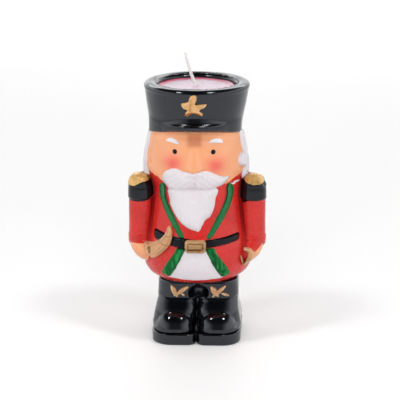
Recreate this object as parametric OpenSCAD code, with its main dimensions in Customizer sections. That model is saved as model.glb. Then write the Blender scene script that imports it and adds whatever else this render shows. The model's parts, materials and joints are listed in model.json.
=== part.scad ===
// Toy-soldier nutcracker candle: a hand-painted, glazed ceramic figure whose tall
// hat is the open cup of a wax candle.
// Front is -Y, the figure's own left is +X, and the soles rest on Z = 0.

/* [Hat and cup] */
// Radius of the hat's rounded rim
rim_r = 28.3; // [26:0.1:29.4]
// Height of the rim above the soles
rim_z = 138.7; // [136:0.1:142]
// Radius of the cup's mouth inside the rim
mouth_r = 21.0; // [19.5:0.1:21.5]
// How far the peak stands out in front of the hat
peak_reach = 4.0; // [2.5:0.1:4.6]
// Sideways lean of the head and hat towards the figure's right
head_lean = 0.9; // [0:0.1:1.5]

/* [Candle] */
// Wax level below the rim
wax_drop = 2.0; // [1:0.1:6]
// Height of the cup's floor above the soles
floor_z = 46; // [42:0.5:54]
// Thickness of the braided wick
wick_d = 1.6; // [1:0.1:2.4]
// Length of wick above the wax
wick_free = 18.4; // [8:0.2:24]
// Lean of the free wick from upright
wick_lean = 21; // [0:1:35]

/* [Coat and arms] */
// Widest radius of the coat's skirt
coat_r = 29.2; // [28.6:0.1:30]
// Radius of each sleeve
sleeve_r = 7.4; // [6.8:0.1:8]
// Width across both sleeves
arm_span = 72.8; // [72:0.2:76]
// Height of the belt's centre line
belt_z = 57.3; // [56.5:0.1:58]
// Width of the belt
belt_w = 5.0; // [4:0.1:5.6]

/* [Boots] */
// Half the width across both soles
sole_reach = 23.8; // [23:0.1:25]
// Thickness of the soles
sole_h = 6.2; // [5:0.1:7]
// Radius of the toe caps
toe_r = 10.5; // [9.8:0.1:10.8]

/* [Raised painting] */
// Height of the green edging above the coat
trim_t = 0.9; // [0.5:0.1:1.4]
// Height of the belt above the coat
belt_t = 1.2; // [0.8:0.1:1.8]
// Radius of the eye beads
eye_r = 1.25; // [0.9:0.05:1.8]

/* [Hidden] */
$fn = 120;

left = 1;
right = -1;
span = 200;          // larger than the whole figure, for cutting blocks
collar_z = 92;       // where the coat's collar meets the head at the sides and back
wax_top = rim_z - wax_drop;
cup_foot_r = mouth_r - 3.5;
arm_x = arm_span / 2 - sleeve_r;
arm_y = -7;
cuff_z = 57.8;       // seam between sleeve and cuff
wrist_z = 52.3;      // lower edge of the cuff
epaulette_z = 77;
crown_z = 84.6;
brim_front_z = 116.5;
brim_back_z = 108.7;
brim_tilt = atan((brim_front_z - brim_back_z) / 49);
brim_mid_z = (brim_front_z + brim_back_z) / 2;
hat_band_r = 24.3;   // radius of the hat above the peak
peak_r = 22.7;       // radius of the peak's own curve
wick_x = 0.2;        // the wick stands a little off the leaning cup's axis
leg_depth = 0.87;    // the legs are this much shallower than they are wide

// Side outlines, [radius, height] from the bottom up.
hat_side = [
  [24.4, 104], [24.2, 113], [hat_band_r, 120], [26.1, 128], [27.6, rim_z - 5.5],
  [rim_r, rim_z - 1.6], [rim_r - 0.6, rim_z - 0.4], [rim_r - 2.2, rim_z],
  [mouth_r + 1.4, rim_z - 0.1], [mouth_r, rim_z - 1.2]
];
head_side = [
  [23.6, 83], [24.6, 87], [25.8, 92], [26.2, 97], [26.0, 102], [25.0, 107], [23.6, 112], [22.2, 119]
];
hair_side = [
  [26.2, 87.4], [27.7, 90], [28.1, 94], [27.7, 100], [26.7, 106], [25.2, 112], [24.6, 117]
];
coat_side = [
  [19.4, 32.8], [23.6, 34.3], [26.6, 37.4], [28.6, 41.6], [coat_r, 47], [28.8, 53],
  [27.7, 58], [26.5, 64.5], [25.3, 72], [24.6, 79], [24.7, 86], [25.4, collar_z]
];
beard_side = [[27.0, 62.6], [28.2, 65.5], [28.4, 72], [28.0, 80], [27.4, 88]];
moustache_side = [[27.0, 83.6], [28.6, 87], [29.0, 91], [28.4, 95.2], [26.4, 98.6]];
sleeve_side = [
  [sleeve_r, cuff_z], [sleeve_r, 80], [sleeve_r - 0.5, 84.5], [sleeve_r - 2.4, 87.6], [2.4, 89.2]
];
cuff_side = [
  [sleeve_r - 0.9, wrist_z], [sleeve_r, wrist_z + 1], [sleeve_r, cuff_z - 0.6],
  [sleeve_r - 0.4, cuff_z]
];
leg_side = [[23.2, sole_h], [23.3, 10], [22.4, 16], [21.4, 21], [21.0, 27], [20.8, 32.8]];
peak_side = [
  [peak_r, 108], [peak_r, 119.4], [peak_r - 0.6, 121], [peak_r - 2.3, 122.8], [peak_r - 4, 124.8]
];

// Front outlines, [x, z], as seen from straight ahead.
neck_opening = [[-26, 93], [-14, 86], [-11, 84], [11, 84], [14, 86], [26, 93]];
star_outline = [
  [-2.3, 136.1], [1.4, 136.8], [1.6, 132.8], [6.7, 131.4], [3.2, 129.2], [4.4, 125.1],
  [0, 127.6], [-4.4, 125.0], [-3.6, 128.6], [-6.5, 130.2], [-6.4, 132], [-3.2, 132.3]
];
moustache_outline = [
  [-17.9, 90.5], [-16.7, 94.1], [-14, 96.3], [-10.2, 97.3], [-6.5, 96], [-0.8, 95.4],
  [4.4, 96.3], [9, 94.9], [13.1, 92.6], [17.2, 91.9], [14.6, 88.1], [10.2, 86.5],
  [4.5, 85.2], [-0.6, 86.4], [-6, 85.2], [-13.1, 84.7], [-15.7, 86.9]
];
beard_outline = [
  [-13.1, 84.7], [-13.7, 79.3], [-12.8, 75.3], [-9.9, 70.5], [-6.1, 66.7], [-1.9, 64.6],
  [1.8, 63.9], [3.3, 66.5], [5.1, 69.5], [7.9, 71.9], [9.7, 76], [10.2, 80.1], [10.2, 86.5],
  [4.5, 85.2], [-0.6, 86.4], [-6, 85.2]
];
brow_outline = [[7.5, 110.6], [9.2, 112.3], [12, 112.8], [14.9, 110.8], [14.6, 109.9], [11, 111.3]];
lapel_outline = [
  [16.0, 86.8], [17.8, 88.2], [19.6, 85.3], [19.1, 79.9], [17.6, 75.1], [15.1, 69.9],
  [11.6, 64.2], [8.5, 59.8], [5.8, 59.8], [7.5, 63.6], [11.0, 70.5], [14.3, 76.8], [15.9, 81.7]
];
skirt_trim_outline = [
  [5.5, 54.8], [7.6, 50], [10.2, 45], [13.8, 39.9], [15.3, 38.4], [17.9, 38.6], [17.4, 41],
  [14.8, 46.1], [11.7, 50.2], [8.4, 54.8]
];
shirt_outline = [
  [-5.5, 54.8], [-7.6, 50], [-10.2, 45], [-13.8, 39.6], [-14.4, 38.1], [-8, 37.4], [0, 36.9],
  [8, 37.4], [14.4, 38.1], [13.8, 39.6], [10.2, 45], [7.6, 50], [5.5, 54.8]
];
horn_outline = [
  [-28.2, 54.2], [-24, 54.9], [-19.5, 57.8], [-16.2, 61.6], [-15.1, 64.4], [-14, 65.6],
  [-12.6, 64.8], [-12.1, 61.2], [-12.9, 57.3], [-15.6, 53.4], [-19.4, 49.5], [-22.2, 47.4],
  [-26, 47.6]
];

// A smooth curve through hand-picked knots (Catmull-Rom), n steps a stretch.
function between(a, b, c, d, t) =
  0.5 * (2 * b + (c - a) * t + (2 * a - 5 * b + 4 * c - d) * t * t
    + (3 * b - a - 3 * c + d) * t * t * t);
function open_curve(p, n) = concat(
  [for (i = [0 : len(p) - 2]) for (k = [0 : n - 1])
    between(p[max(i - 1, 0)], p[i], p[i + 1], p[min(i + 2, len(p) - 1)], k / n)],
  [p[len(p) - 1]]);
function grown(side, t) = [for (p = side) [p[0] + t, p[1]]];
function mirrored(outline) = [for (p = outline) [-p[0], p[1]]];

// A solid turned about the vertical axis from a side outline.
module turned(side, n = 2) {
  low = side[0][1];
  high = side[len(side) - 1][1];
  rotate_extrude() polygon(concat([[0, low]], open_curve(side, n), [[0, high]]));
}

// A front outline pushed forward from the figure's axis.
module forward(outline) {
  rotate([90, 0, 0]) linear_extrude(50) polygon(outline);
}

// A raised patch of thickness t on a turned surface.
module patch(outline, side, t) {
  difference() {
    intersection() {
      forward(outline);
      turned(grown(side, t));
    }
    turned(side);
  }
}

module leaned() {
  translate([-head_lean, 0, 0]) children();
}

module above(z) {
  translate([-span / 2, -span / 2, z]) cube(span);
}

module below(z) {
  translate([-span / 2, -span / 2, z - span]) cube(span);
}

module side_of(s) {
  translate([s > 0 ? 0 : -span, -span / 2, -span / 2]) cube(span);
}

// Everything above the hat's sloping lower edge.
module over_brim() {
  translate([0, 0, brim_mid_z]) rotate([-brim_tilt, 0, 0]) above(0);
}

// The candle's cup, slightly narrower towards its floor; its upper half leans with the head.
module cup(low, high) {
  r_low = cup_foot_r;
  step_z = collar_z;
  r_step = cup_foot_r + (mouth_r - cup_foot_r) * (step_z - floor_z) / (rim_z - floor_z);
  translate([0, 0, low]) cylinder(h = step_z - low, r1 = r_low, r2 = r_step);
  leaned() translate([0, 0, step_z]) cylinder(h = high - step_z, r1 = r_step, r2 = mouth_r);
}

module coat_body() {
  turned(coat_side);
}

module sleeve_core(s) {
  translate([s * arm_x, arm_y, 0]) turned(sleeve_side);
}

module cuff_core(s) {
  translate([s * arm_x, arm_y, 0]) turned(cuff_side, 1);
}

module hand_core(s) {
  translate([s * 28.2, -9, 50.6]) sphere(r = 7);
}

// ---- Candle ----

wick_foot_z = floor_z + 1.3;
adhesive_t = 0.8;
sustainer_t = 0.5;

module free_wick(r) {
  translate([wick_x, 0, wax_top]) {
    sphere(r = r + 0.06, $fn = 24);
    rotate([0, -wick_lean, 0]) cylinder(h = wick_free, r = r, $fn = 24);
  }
}

module buried_wick(r) {
  translate([wick_x, 0, wick_foot_z]) cylinder(h = wax_top - wick_foot_z, r = r, $fn = 24);
}

module wax_fill() {
  color([0.89, 0.80, 0.84]) difference() {
    union() {
      cup(floor_z, wax_top);
      translate([wick_x, 0, wax_top]) cylinder(h = 1.2, r1 = 2.6, r2 = wick_d / 2 + 0.3);
    }
    buried_wick(wick_d / 2);
    free_wick(wick_d / 2);
    sustainer_adhesive();
    sustainer_body();
  }
}

module wick() {
  color([0.95, 0.94, 0.92]) union() {
    buried_wick(wick_d / 2);
    free_wick(wick_d / 2);
  }
}

module sustainer_body() {
  translate([wick_x, 0, floor_z + adhesive_t]) {
    cylinder(h = sustainer_t, r = 7.5);
    cylinder(h = 6, r = wick_d / 2 + 0.4);
  }
}

module wick_sustainer() {
  color([0.72, 0.72, 0.74]) difference() {
    sustainer_body();
    buried_wick(wick_d / 2);
  }
}

module sustainer_adhesive() {
  color([0.93, 0.90, 0.82])
    translate([wick_x, 0, floor_z]) cylinder(h = adhesive_t, r = 4.5);
}

// ---- Hat ----

module hat_shell() {
  color([0.05, 0.05, 0.06]) leaned() difference() {
    intersection() {
      turned(hat_side);
      over_brim();
    }
    translate([head_lean, 0, 0]) cup(floor_z, rim_z + 1);
  }
}

// The peak's curve is tighter than the hat's, so it fades out towards the temples.
module hat_peak() {
  color([0.05, 0.05, 0.06]) leaned() difference() {
    intersection() {
      translate([0, peak_r - hat_band_r - peak_reach, 0]) turned(peak_side);
      over_brim();
    }
    turned(hat_side);
  }
}

module hat_star() {
  color([0.78, 0.55, 0.25]) leaned() patch(star_outline, hat_side, 1.1);
}

// ---- Head ----

// The head shows above the collar at the sides and back, and in the neck opening in front.
module head() {
  color([0.96, 0.67, 0.47]) difference() {
    intersection() {
      leaned() turned(head_side);
      union() {
        above(collar_z);
        forward(neck_opening);
      }
    }
    leaned() over_brim();
    cup(floor_z, rim_z);
  }
}

// A blunt cone that widens downwards and sits on top of the moustache.
module nose() {
  color([0.96, 0.67, 0.47]) difference() {
    translate([-0.7, -24.3, 0]) turned([[4.4, 95.3], [5.1, 96.6], [4.3, 100], [1.3, 108.4]]);
    leaned() turned(head_side);
    moustache_block();
  }
}

// A low bead set square to the face, which slopes back a little at eye level.
module eye(s) {
  eye_z = 105.9;
  face_r = 25.2;
  face_slope = 11;
  turn = asin(10 / face_r);
  bead_h = 0.6;
  ball_r = (eye_r * eye_r + bead_h * bead_h) / (2 * bead_h);
  color([0.05, 0.04, 0.04]) leaned() rotate([0, 0, s * turn])
    translate([0, -face_r, eye_z]) rotate([90 - face_slope, 0, 0]) intersection() {
      translate([0, 0, bead_h - ball_r]) sphere(r = ball_r);
      cylinder(h = 2, r = 3);
    }
}

module left_eye() {
  eye(left);
}

module right_eye() {
  eye(right);
}

module eyebrow(s) {
  outline = s > 0 ? brow_outline : mirrored(brow_outline);
  color([0.9, 0.89, 0.92]) leaned() patch(outline, head_side, 0.7);
}

module left_eyebrow() {
  eyebrow(left);
}

module right_eyebrow() {
  eyebrow(right);
}

module ear_core(s) {
  leaned() translate([s * 22.4, -6.5, 0])
    turned([[1.2, 92.6], [3.3, 93.4], [4.8, 96], [4.8, 99.6], [3.4, 102.6], [1.2, 103.6]]);
}

module ear(s) {
  color([0.96, 0.67, 0.47]) difference() {
    ear_core(s);
    leaned() turned(head_side);
  }
}

module left_ear() {
  ear(left);
}

module right_ear() {
  ear(right);
}

module moustache_block() {
  intersection() {
    forward(moustache_outline);
    turned(moustache_side);
  }
}

module moustache() {
  color([0.9, 0.89, 0.92]) difference() {
    moustache_block();
    leaned() turned(head_side);
    coat_body();
  }
}

module beard() {
  color([0.9, 0.89, 0.92]) difference() {
    intersection() {
      forward(beard_outline);
      turned(beard_side);
    }
    leaned() turned(head_side);
    coat_body();
  }
}

// Long hair round the sides and back, with a tuft in front of each ear.
module hair() {
  tuft = [[22.5, 97], [23, 104], [29, 106], [29, 95]];
  color([0.9, 0.89, 0.92]) difference() {
    intersection() {
      leaned() turned(hair_side);
      union() {
        translate([-span / 2, -4.5, 0]) cube(span);
        forward(tuft);
      }
    }
    leaned() turned(head_side);
    leaned() over_brim();
    coat_body();
    for (s = [left, right]) {
      ear_core(s);
      sleeve_core(s);
      epaulette_crown_cap(s);
    }
  }
}

// ---- Coat and arms ----

module coat() {
  color([0.80, 0.20, 0.19]) difference() {
    coat_body();
    forward(neck_opening);
    cup(floor_z, rim_z);
  }
}

module sleeve(s) {
  color([0.80, 0.20, 0.19]) difference() {
    sleeve_core(s);
    coat_body();
    leaned() turned(head_side);
  }
}

module left_sleeve() {
  sleeve(left);
}

module right_sleeve() {
  sleeve(right);
}

module cuff(s) {
  color([0.78, 0.17, 0.18]) difference() {
    cuff_core(s);
    coat_body();
  }
}

module left_cuff() {
  cuff(left);
}

module right_cuff() {
  cuff(right);
}

// The shoulder's outer layer: the black board below crown_z and the gold crown above it.
module shoulder_layer(s) {
  difference() {
    translate([s * arm_x, arm_y, 0]) turned(grown(sleeve_side, 0.5));
    sleeve_core(s);
    coat_body();
    leaned() turned(head_side);
  }
}

module epaulette_crown_cap(s) {
  translate([s * arm_x, arm_y, 0]) intersection() {
    turned(grown(sleeve_side, 0.6));
    above(crown_z);
  }
}

module epaulette(s) {
  color([0.06, 0.06, 0.07]) intersection() {
    shoulder_layer(s);
    above(epaulette_z);
    below(crown_z);
  }
}

module left_epaulette() {
  epaulette(left);
}

module right_epaulette() {
  epaulette(right);
}

module epaulette_crown(s) {
  color([0.76, 0.58, 0.30]) difference() {
    union() {
      epaulette_crown_cap(s);
      translate([s * arm_x, arm_y, 88.6]) cylinder(h = 1.2, r1 = 3.2, r2 = 2.2);
    }
    sleeve_core(s);
    coat_body();
    leaned() turned(head_side);
  }
}

module left_epaulette_crown() {
  epaulette_crown(left);
}

module right_epaulette_crown() {
  epaulette_crown(right);
}

module hand(s) {
  color([0.96, 0.67, 0.47]) difference() {
    intersection() {
      hand_core(s);
      below(wrist_z);
    }
    coat_body();
  }
}

module left_hand() {
  hand(left);
}

module right_hand() {
  hand(right);
}

// ---- Raised trims on the coat ----

module lapel_trim(s) {
  outline = s > 0 ? lapel_outline : mirrored(lapel_outline);
  color([0.10, 0.42, 0.24]) difference() {
    patch(outline, coat_side, trim_t);
    forward(neck_opening);
    forward(moustache_outline);
    forward(beard_outline);
  }
}

module left_lapel_trim() {
  lapel_trim(left);
}

module right_lapel_trim() {
  lapel_trim(right);
}

module skirt_trim(s) {
  outline = s > 0 ? skirt_trim_outline : mirrored(skirt_trim_outline);
  color([0.10, 0.42, 0.24]) patch(outline, coat_side, trim_t);
}

module left_skirt_trim() {
  skirt_trim(left);
}

module right_skirt_trim() {
  skirt_trim(right);
}

module shirt_front() {
  color([0.90, 0.88, 0.91]) difference() {
    patch(shirt_outline, coat_side, 0.5);
    for (s = [left, right]) {
      skirt_trim(s);
    }
  }
}

// A belt of one thickness all round, before it is cut to its front and back runs.
module belt_ring() {
  difference() {
    intersection() {
      turned(grown(coat_side, belt_t));
      above(belt_z - belt_w / 2);
      below(belt_z + belt_w / 2);
    }
    coat_body();
  }
}

// The front run passes under the buckle and the horn and stops short of the sleeves.
module belt_front() {
  reach = [-21, 23];
  color([0.05, 0.05, 0.06]) difference() {
    intersection() {
      belt_ring();
      translate([reach[0], -span / 2, 0]) cube([reach[1] - reach[0], span / 2, span]);
    }
    for (s = [left, right]) {
      sleeve_core(s);
      cuff_core(s);
    }
  }
}

module belt_back() {
  color([0.05, 0.05, 0.06]) difference() {
    intersection() {
      belt_ring();
      translate([-span / 2, 3, 0]) cube(span);
    }
    for (s = [left, right]) {
      sleeve_core(s);
      cuff_core(s);
    }
  }
}

buckle_w = 11.2;
buckle_h = 7.2;
buckle_t = 1.0;

module rounded_plate(w, h, r) {
  square([w - 2 * r, h], center = true);
  square([w, h - 2 * r], center = true);
  for (x = [-1, 1], y = [-1, 1]) {
    translate([x * (w / 2 - r), y * (h / 2 - r)]) circle(r, $fn = 32);
  }
}

module buckle_block() {
  translate([0, 0, belt_z - 1.2]) rotate([90, 0, 0]) linear_extrude(50)
    rounded_plate(buckle_w, buckle_h, 2.4);
}

module buckle_groove() {
  translate([0, 0, belt_z - 1.2]) rotate([90, 0, 0]) linear_extrude(50) difference() {
    rounded_plate(buckle_w - 3, buckle_h - 2.8, 1.6);
    rounded_plate(buckle_w - 4.2, buckle_h - 4, 1.1);
  }
}

// The buckle is a plate over the belt, with a line cut round its middle.
module belt_buckle() {
  color([0.80, 0.64, 0.42]) difference() {
    intersection() {
      buckle_block();
      turned(grown(coat_side, belt_t + buckle_t));
    }
    turned(grown(coat_side, belt_t));
    difference() {
      buckle_groove();
      turned(grown(coat_side, belt_t + buckle_t - 0.4));
    }
  }
}

// A powder horn held in the figure's right hand, laid over the belt's end.
module horn() {
  color([0.78, 0.63, 0.42]) difference() {
    intersection() {
      forward(horn_outline);
      turned(grown(coat_side, 3));
    }
    coat_body();
    belt_ring();
    hand_core(right);
    sleeve_core(right);
    cuff_core(right);
    lapel_trim(right);
  }
}

// The looped guard of the sword hilt in the figure's left hand.
module hilt_guard() {
  color([0.78, 0.63, 0.42]) difference() {
    translate([26.6, -17.3, 47.2]) rotate([0, 0, 52]) rotate([90, 0, 0])
      rotate_extrude($fn = 48) translate([3.3, 0]) circle(1.25, $fn = 24);
    coat_body();
    hand_core(left);
    cuff_core(left);
  }
}

// ---- Boots ----

module legs_body() {
  scale([1, leg_depth, 1]) turned(leg_side);
}

module toe_core(s) {
  translate([s * 11.3, -13.3, sole_h + 0.8]) sphere(r = toe_r);
}

// One boot is half of the standing block, with a groove between the pair in front and behind.
module boot(s) {
  color([0.05, 0.05, 0.06]) difference() {
    intersection() {
      legs_body();
      side_of(s);
    }
    for (y = [-20.6, 20.6]) {
      translate([0, y, sole_h]) cylinder(h = 40, r = 2.6, $fn = 32);
    }
    translate([0, -22.6, 26]) sphere(r = 6.8);
    toe_core(left);
    toe_core(right);
  }
}

module left_boot() {
  boot(left);
}

module right_boot() {
  boot(right);
}

module toe_cap(s) {
  color([0.06, 0.06, 0.07]) intersection() {
    toe_core(s);
    above(sole_h);
    side_of(s);
  }
}

module left_toe_cap() {
  toe_cap(left);
}

module right_toe_cap() {
  toe_cap(right);
}

// A sole with a rounded toe and heel and a fine step under the upper.
module sole(s) {
  x = sole_reach / 2 + 0.05;
  half_w = sole_reach / 2 - 0.05;
  color([0.07, 0.07, 0.08]) {
    for (layer = [[0, sole_h - 0.9, 0], [sole_h - 0.9, 0.9, 0.6]]) {
      translate([s * x, 0, layer[0]]) linear_extrude(layer[1])
        sole_plan(half_w - layer[2], 23.9 - layer[2]);
    }
  }
}

module sole_plan(half_w, half_l) {
  end_r = half_w;
  for (y = [-1, 1]) {
    translate([0, y * (half_l - end_r)]) circle(end_r);
  }
  square([2 * end_r, 2 * (half_l - end_r)], center = true);
}

module left_sole() {
  sole(left);
}

module right_sole() {
  sole(right);
}

// A pointed leaf shape, one strand of a bow.
module leaf(length, width) {
  r = (length * length + width * width) / (4 * width);
  intersection() {
    translate([0, width / 2 - r]) circle(r);
    translate([0, r - width / 2]) circle(r);
  }
}

module boot_bow(s) {
  strands = [[-1.2, 1.5, -50, 7.6, 2.6], [1.3, 1.8, 30, 9.6, 2.4], [2.6, -1.6, -40, 4, 1.2]];
  color([0.80, 0.64, 0.42]) difference() {
    intersection() {
      translate([s * 9.3 + 0.3, 0, 28.3]) rotate([90, 0, 0]) linear_extrude(50)
        for (strand = strands) {
          translate([strand[0], strand[1]]) rotate(strand[2]) leaf(strand[3], strand[4]);
        }
      scale([1, leg_depth, 1]) turned(grown(leg_side, 0.8));
    }
    legs_body();
    coat_body();
  }
}

module left_boot_bow() {
  boot_bow(left);
}

module right_boot_bow() {
  boot_bow(right);
}

wax_fill();
wick();
wick_sustainer();
sustainer_adhesive();
hat_shell();
hat_peak();
hat_star();
head();
nose();
left_eye();
right_eye();
left_eyebrow();
right_eyebrow();
left_ear();
right_ear();
moustache();
beard();
hair();
coat();
left_sleeve();
right_sleeve();
left_cuff();
right_cuff();
left_epaulette();
right_epaulette();
left_epaulette_crown();
right_epaulette_crown();
left_hand();
right_hand();
left_lapel_trim();
right_lapel_trim();
left_skirt_trim();
right_skirt_trim();
shirt_front();
belt_front();
belt_back();
belt_buckle();
horn();
hilt_guard();
left_boot();
right_boot();
left_toe_cap();
right_toe_cap();
left_sole();
right_sole();
left_boot_bow();
right_boot_bow();
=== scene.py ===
import json
import math
from functools import partial, reduce

import bpy
import numpy as np
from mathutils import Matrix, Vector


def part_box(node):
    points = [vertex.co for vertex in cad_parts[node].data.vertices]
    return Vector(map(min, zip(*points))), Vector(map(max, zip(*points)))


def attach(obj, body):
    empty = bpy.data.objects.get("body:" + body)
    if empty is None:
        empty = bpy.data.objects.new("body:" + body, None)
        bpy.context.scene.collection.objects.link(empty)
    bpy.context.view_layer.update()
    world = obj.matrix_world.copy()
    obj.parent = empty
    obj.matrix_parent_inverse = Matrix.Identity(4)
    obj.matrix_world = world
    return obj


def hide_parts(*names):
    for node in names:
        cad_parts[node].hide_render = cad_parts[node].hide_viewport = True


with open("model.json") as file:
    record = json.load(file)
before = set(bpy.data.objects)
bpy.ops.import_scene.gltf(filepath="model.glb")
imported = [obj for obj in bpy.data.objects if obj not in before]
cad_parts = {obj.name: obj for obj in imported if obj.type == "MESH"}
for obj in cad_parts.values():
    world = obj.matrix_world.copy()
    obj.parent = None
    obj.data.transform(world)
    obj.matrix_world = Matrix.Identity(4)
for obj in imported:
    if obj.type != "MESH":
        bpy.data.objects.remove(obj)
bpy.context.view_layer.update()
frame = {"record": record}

import openvdb
from mathutils import Vector

# The figure is one glazed casting. It is sculpted here as a single distance field in
# millimetres, meshed, and then cut along its paint lines into one piece per CAD node.
# Small raised ornaments are sculpted on their own and sit on the casting.
# Here s is 1 on the figure's own left, which is +X, and -1 on its right.

MM = 0.001
BODY_CELL = 0.75         # mesh size of the casting
SKIN = 0.9               # how thick each piece of the casting is made
FAR = 50.0               # a distance that is outside every zone
MAP_STEP = 0.2           # spacing of the maps that hold the 2-D outlines
ON_LINE = 0.06           # a corner this near to a paint line counts as on it
SLOPE_STEP = 0.12        # how far apart a field is sampled for its normals
POOL_REACH = 1.6         # how far out of the surface a hollow is looked for
EDGE_REACH = 1.4         # how far below the surface an edge is looked for
SIDES = ((1, "left"), (-1, "right"))


# ---------------------------------------------------------------- frame in millimetres

def box(node):
    lo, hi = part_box(node)
    return np.array(lo) / MM, np.array(hi) / MM


def mid(node):
    lo, hi = box(node)
    return (lo + hi) / 2


HAT_LO, HAT_HI = box("hat_shell")
HEAD_LO, HEAD_HI = box("head")
COAT_LO, COAT_HI = box("coat")
SLEEVE_HI = box("left_sleeve")[1]
CUFF_LO, CUFF_HI = box("left_cuff")
CROWN_LO = box("left_epaulette_crown")[0]
EPAULETTE_LO = box("left_epaulette")[0]
BELT_LO, BELT_HI = box("belt_back")
SOLE_LO, SOLE_HI = box("left_sole")
TOE_LO, TOE_HI = box("left_toe_cap")
BOOT_TOP = box("left_boot")[1][2]

LEAN = mid("hat_shell")[0]                 # the head and hat lean to one side
RIM_Z = HAT_HI[2]
RIM_R = (HAT_HI[0] - HAT_LO[0]) / 2 - 0.4
HEAD_R = (HEAD_HI[0] - HEAD_LO[0]) / 2
COAT_R = COAT_HI[0]
HEM_Z = COAT_LO[2]
COLLAR_Z = COAT_HI[2]
BRIM_RUN = 47.5                            # from the front of the brim to its back
BRIM_SLOPE = (HEAD_HI[2] - HAT_LO[2]) / BRIM_RUN
BRIM_MID_Z = (HEAD_HI[2] + HAT_LO[2]) / 2
WAX_DEPTH = 2.8                            # how far the wax stands below the rim
WAX_Z = RIM_Z - WAX_DEPTH
MOUTH_R = box("wax_fill")[1][0] - LEAN
ARM_R = (CUFF_HI[1] - CUFF_LO[1]) / 2 - 0.75
ARM_X = SLEEVE_HI[0] - ARM_R - 0.15
ARM_Y = mid("left_cuff")[1]
BELT_Z = mid("belt_back")[2]
BELT_HALF = (BELT_HI[2] - BELT_LO[2]) / 2
SOLE_TOP = SOLE_HI[2]
TOE_R = TOE_HI[2] - SOLE_TOP - 0.8
TURNOVER_Z = 23.9                          # lower edge of the boots' turned-down tops


# ---------------------------------------------------------------- curves and distances

def spline(knots, steps=8, closed=False):
    """A Catmull-Rom curve through the knots."""
    p = np.array(knots, float)
    n = len(p)
    out = []
    for i in range(n if closed else n - 1):
        if closed:
            a, b, c, d = p[i - 1], p[i], p[(i + 1) % n], p[(i + 2) % n]
        else:
            a, b, c, d = p[max(i - 1, 0)], p[i], p[i + 1], p[min(i + 2, n - 1)]
        for t in np.arange(steps) / steps:
            out.append(0.5 * (2 * b + (c - a) * t + (2 * a - 5 * b + 4 * c - d) * t ** 2
                              + (3 * b - a - 3 * c + d) * t ** 3))
    if not closed:
        out.append(p[-1])
    return np.array(out)


class Outline:
    """Signed distance to a closed 2-D outline, kept on a fine map. It is negative inside."""

    def __init__(self, points, margin=6.0):
        pts = np.array(points, float)
        self.lo = pts.min(0) - margin
        n = np.ceil((pts.max(0) + margin - self.lo) / MAP_STEP).astype(int) + 1
        rows = [self.lo[i] + MAP_STEP * np.arange(n[i]) for i in (0, 1)]
        u, v = np.meshgrid(*rows, indexing="ij")
        u, v = u.ravel(), v.ravel()
        best = np.full(len(u), 1e9)
        inside = np.zeros(len(u), bool)
        for a, b in zip(pts, np.roll(pts, -1, axis=0)):
            e = b - a
            length = e @ e
            if length < 1e-12:
                continue
            du, dv = u - a[0], v - a[1]
            t = np.clip((du * e[0] + dv * e[1]) / length, 0, 1)
            best = np.minimum(best, (du - t * e[0]) ** 2 + (dv - t * e[1]) ** 2)
            if a[1] != b[1]:
                crosses = (a[1] > v) != (b[1] > v)
                inside ^= crosses & (du < e[0] * dv / e[1])
        self.map = (np.sqrt(best) * np.where(inside, -1, 1)).reshape(n)

    def __call__(self, u, v):
        s = (np.asarray(u) - self.lo[0]) / MAP_STEP
        t = (np.asarray(v) - self.lo[1]) / MAP_STEP
        i = np.clip(s.astype(int), 0, self.map.shape[0] - 2)
        j = np.clip(t.astype(int), 0, self.map.shape[1] - 2)
        cs, ct = np.clip(s, 0, self.map.shape[0] - 1), np.clip(t, 0, self.map.shape[1] - 1)
        f, g = cs - i, ct - j
        m = self.map
        near = (m[i, j] * (1 - f) + m[i + 1, j] * f) * (1 - g) \
            + (m[i, j + 1] * (1 - f) + m[i + 1, j + 1] * f) * g
        return near + MAP_STEP * np.hypot(s - cs, t - ct)


def fitted(node, knots, steps=6):
    """An outline of knots (x, z), laid onto its CAD node's front box."""
    curve = spline(knots, steps, closed=True)
    lo, hi = box(node)
    lo, hi = lo[[0, 2]], hi[[0, 2]]
    low, high = np.min(knots, 0), np.max(knots, 0)
    return Outline((curve - low) * ((hi - lo) / (high - low)) + lo)


def turned(side, steps=8):
    """A solid of revolution from a side outline of (radius, height) knots, bottom to top."""
    curve = spline(side, steps)
    mirror = curve[::-1] * (-1, 1)
    return Outline(np.vstack([curve, mirror]), margin=12)


def smin(a, b, k):
    h = np.clip(0.5 + 0.5 * (b - a) / k, 0, 1)
    return b + (a - b) * h - k * h * (1 - h)


def smax(a, b, k):
    return -smin(-a, -b, k)


def both(*distances):
    """Below zero where all of the distances are."""
    return reduce(np.maximum, distances)


def either(*distances):
    """Below zero where any of the distances is."""
    return reduce(np.minimum, distances)


def step_up(t):
    t = np.clip(t, 0, 1)
    return t * t * (3 - 2 * t)


def bell(d, width):
    return np.exp(-(d / width) ** 2)


def rounded(qx, qy, corner):
    """A rectangle with round corners, from how far a place is past its straight edges."""
    return np.minimum(np.maximum(qx, qy), 0) + np.hypot(np.maximum(qx, 0), np.maximum(qy, 0)) \
        - corner


def segment(p, a, b):
    """Distance to the line between two points, and how far along it, from 0 to 1."""
    a, b = np.array(a, float), np.array(b, float)
    t = np.clip((p - a) @ (b - a) / ((b - a) @ (b - a)), 0, 1)
    return np.linalg.norm(p - a - t[:, None] * (b - a), axis=1), t


def bar(x, z, a, b):
    """The same for a line that is drawn in the front view."""
    return segment(np.stack([x, z], 1), a, b)


def ripples(p, scale, seed):
    """A smooth, repeatable unevenness between about -1 and 1."""
    rng = np.random.default_rng(seed)
    out = 0
    for _ in range(6):
        way = rng.normal(size=3)
        way /= np.linalg.norm(way)
        out = out + np.sin(p @ way * (2 * math.pi / scale) * rng.uniform(0.7, 1.5)
                           + rng.uniform(0, 6.3))
    return out / 3.5


# ---------------------------------------------------------------- outlines of the casting

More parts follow.
